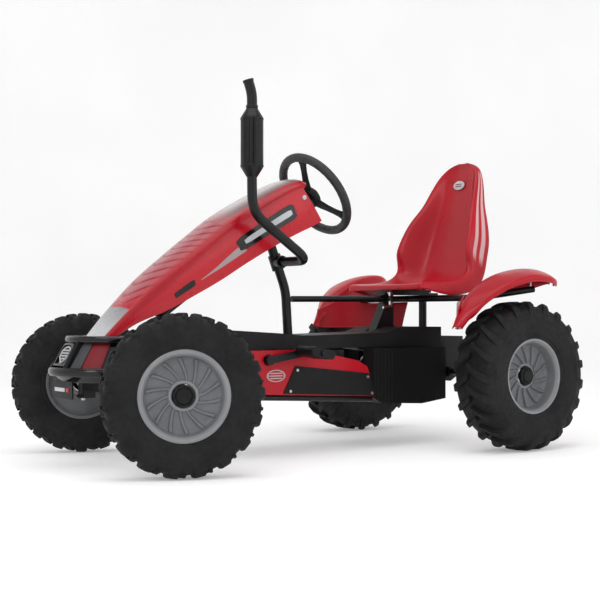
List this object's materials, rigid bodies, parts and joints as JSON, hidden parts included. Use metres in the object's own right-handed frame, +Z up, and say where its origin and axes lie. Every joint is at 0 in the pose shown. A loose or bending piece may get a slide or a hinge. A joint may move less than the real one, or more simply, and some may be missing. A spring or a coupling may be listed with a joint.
{
  "type": "pedal go kart",
  "caption": "Pedal go kart with a long red hood, lugged tyres, upright exhaust, bucket seat on a slide, steered front axle and chain drive to the rear axle.",
  "frame": {"origin": "on the ground, below the middle of the kart's bounding box", "axes": "+Z up, the kart's front faces -Y, the kart's left side is +X"},
  "size_m": [0.912, 1.5143, 1.035],
  "materials": {
    "black_steel": "gloss powder coat",
    "black_plastic": "satin",
    "gloss_black": "gloss",
    "red": "high gloss",
    "dark_red": "gloss",
    "rubber": "matte",
    "rim_grey": "satin",
    "zinc": "satin zinc plate"
  },
  "bodies": {
    "chassis": {"main_frame": "black_steel", "steering_post": "black_steel", "fender_tubes": "black_steel", "column_bearings": "zinc", "centre_cover": "black_plastic", "side_cover_left": "red", "side_cover_right": "red", "side_plate_left": "black_plastic", "side_plate_right": "black_plastic", "plate_rivets": "zinc", "gear_cover": "black_plastic", "hood": "red", "bumper": "gloss_black", "nose_shield": "rim_grey", "nose_panels": "dark_red", "badge_plate": "black_steel", "exhaust_pipe": "black_steel", "muffler": "black_steel", "exhaust_tip": "black_steel", "exhaust_clamp": "black_steel", "fender_left": "red", "fender_right": "red", "fender_bolts": "zinc", "axle_pivot_bolt": "zinc", "drive_bearings": "zinc", "hub_axle": "zinc", "drive_chain": "zinc", "axle_chain": "zinc"},
    "front_axle": {"front_axle_beam": "black_steel", "kingpins": "zinc"},
    "knuckle_left": {"knuckle_left": "black_steel"},
    "knuckle_right": {"knuckle_right": "black_steel"},
    "track_rod": {"track_rod": "black_steel"},
    "front_wheel_left": {"front_tyre_left": "rubber", "front_rim_left": "rim_grey", "front_cap_left": "black_plastic", "front_bearings_left": "zinc"},
    "front_wheel_right": {"front_tyre_right": "rubber", "front_rim_right": "rim_grey", "front_cap_right": "black_plastic", "front_bearings_right": "zinc"},
    "rear_axle": {"rear_axle": "zinc", "axle_sprocket": "zinc", "rear_tyre_left": "rubber", "rear_rim_left": "rim_grey", "rear_cap_left": "black_plastic"},
    "rear_wheel_right": {"rear_tyre_right": "rubber", "rear_rim_right": "rim_grey", "rear_cap_right": "black_plastic"},
    "hub_gear": {"hub_gear": "zinc"},
    "crank": {"crank": "zinc", "chainring": "zinc"},
    "pedal_left": {"pedal_left": "black_plastic"},
    "pedal_right": {"pedal_right": "black_plastic"},
    "steering": {"steering_shaft": "black_steel", "steering_wheel": "black_plastic", "steering_wheel_cap": "black_plastic"},
    "seat": {"seat_shell": "red", "seat_bracket": "black_steel"},
    "seat_lever": {"seat_lever": "zinc"}
  },
  "joints": [
    {"name": "axle_swing", "type": "hinge", "parent": "chassis", "child": "front_axle", "pos_m": [0, -0.54, 0.2], "axis": [0, 1, 0], "range_deg": [-3, 3]},
    {"name": "steer_left", "type": "hinge", "parent": "front_axle", "child": "knuckle_left", "pos_m": [0.2735, -0.54, 0.2], "axis": [0, 0, 1], "range_deg": [-2.3, 47.7]},
    {"name": "steer_right", "type": "hinge", "parent": "front_axle", "child": "knuckle_right", "pos_m": [-0.2735, -0.54, 0.2], "axis": [0, 0, 1], "range_deg": [-2.3, 47.7]},
    {"name": "track_rod_pivot", "type": "hinge", "parent": "knuckle_left", "child": "track_rod", "pos_m": [0.29858, -0.48003, 0.228], "axis": [0, 0, 1], "range_deg": [-47.7, 2.3]},
    {"name": "steering_column", "type": "hinge", "parent": "chassis", "child": "steering", "pos_m": [0, 0.0767, 0.7524], "axis": [0, 0.8192, 0.5736], "range_deg": [-2.3, 47.7]},
    {"name": "front_wheel_left_spin", "type": "hinge", "parent": "knuckle_left", "child": "front_wheel_left", "pos_m": [0.32885, -0.56315, 0.2], "axis": [0.9225, -0.3859, 0], "continuous": true},
    {"name": "front_wheel_right_spin", "type": "hinge", "parent": "knuckle_right", "child": "front_wheel_right", "pos_m": [-0.32885, -0.51685, 0.2], "axis": [0.9225, -0.3859, 0], "continuous": true},
    {"name": "rear_axle_spin", "type": "hinge", "parent": "chassis", "child": "rear_axle", "pos_m": [0, 0.538, 0.217], "axis": [1, 0, 0], "continuous": true},
    {"name": "rear_wheel_right_spin", "type": "hinge", "parent": "rear_axle", "child": "rear_wheel_right", "pos_m": [-0.385, 0.538, 0.217], "axis": [1, 0, 0], "continuous": true},
    {"name": "hub_spin", "type": "hinge", "parent": "chassis", "child": "hub_gear", "pos_m": [0, 0.338, 0.235], "axis": [1, 0, 0], "continuous": true},
    {"name": "crank_spin", "type": "hinge", "parent": "chassis", "child": "crank", "pos_m": [0, -0.179, 0.27], "axis": [1, 0, 0], "continuous": true},
    {"name": "pedal_left_spin", "type": "hinge", "parent": "crank", "child": "pedal_left", "pos_m": [0.1895, -0.06065, 0.28981], "axis": [1, 0, 0], "continuous": true},
    {"name": "pedal_right_spin", "type": "hinge", "parent": "crank", "child": "pedal_right", "pos_m": [-0.1895, -0.29735, 0.25019], "axis": [1, 0, 0], "continuous": true},
    {"name": "seat_slide", "type": "slide", "parent": "chassis", "child": "seat", "axis": [0, 1, 0], "range_m": [-0.06, 0.02]},
    {"name": "seat_lever", "type": "hinge", "parent": "seat", "child": "seat_lever", "pos_m": [0.03, 0.34, 0.46], "axis": [1, 0, 0], "range_deg": [0, 20], "stiffness_Nm_per_rad": 0.2}
  ],
  "couplings": [
    {"joint": "steer_right", "follows": "steer_left", "ratio": 1},
    {"joint": "track_rod_pivot", "follows": "steer_left", "ratio": -1},
    {"joint": "steering_column", "follows": "steer_left", "ratio": 1},
    {"joint": "hub_spin", "follows": "rear_axle_spin", "ratio": 1.25},
    {"joint": "crank_spin", "follows": "rear_axle_spin", "ratio": 0.66667}
  ]
}
